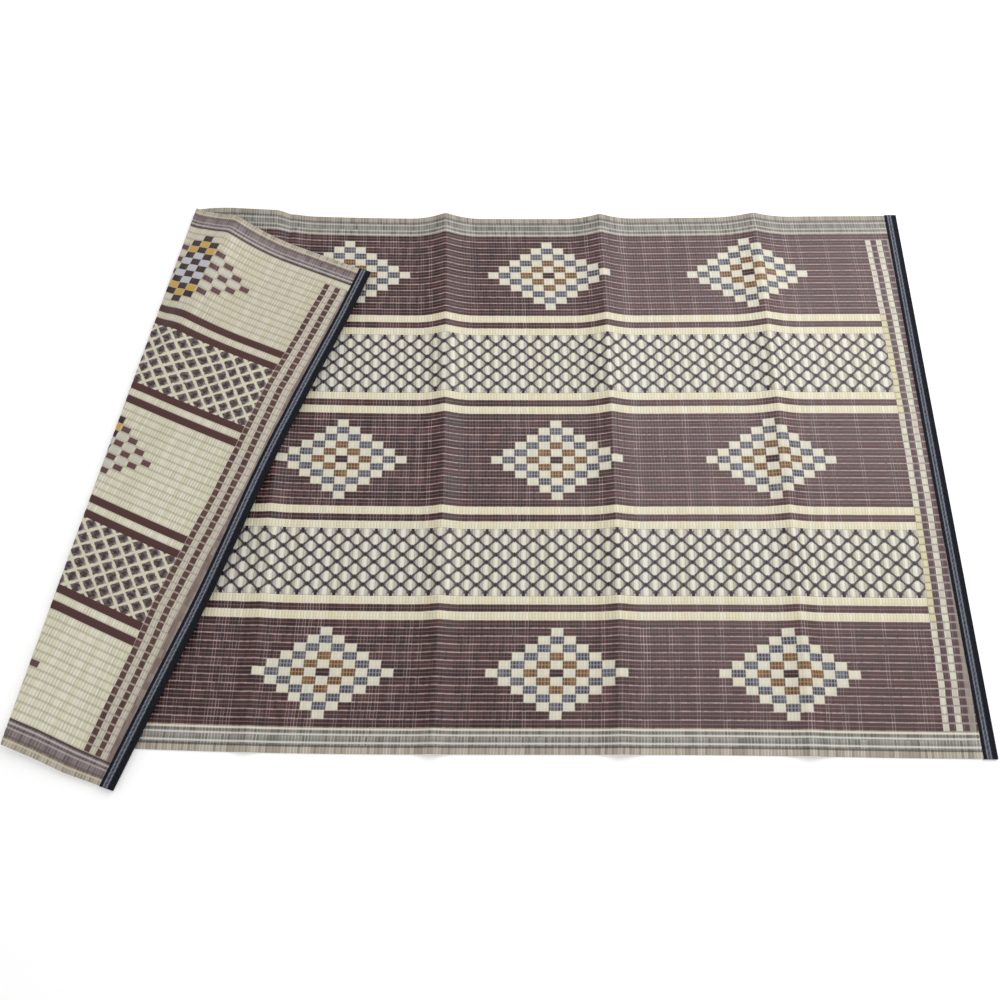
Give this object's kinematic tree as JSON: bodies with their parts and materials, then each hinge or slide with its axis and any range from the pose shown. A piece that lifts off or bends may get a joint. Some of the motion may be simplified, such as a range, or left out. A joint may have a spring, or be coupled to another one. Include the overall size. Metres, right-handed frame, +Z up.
{
  "type": "woven polypropylene straw floor mat",
  "caption": "Woven plastic floor mat lying on the ground with one end folded over, with lozenge and lattice bands, woven selvages and bound ends.",
  "frame": {"origin": "middle of the footprint, on the ground that the mat lies on", "axes": "+X along the mat towards its open end, the folded end at -X; +Y across it towards the back long edge; +Z up"},
  "size_m": [1.8657, 1.286, 0.0515],
  "materials": {
    "polypropylene_straw": "satin, double-faced weave of brown, cream and blue-grey straw",
    "woven_tape": "matt black woven tape"
  },
  "bodies": {
    "root": {"mat_cloth": "polypropylene_straw", "binding_right": "woven_tape", "binding_flap": "woven_tape"}
  },
  "joints": []
}
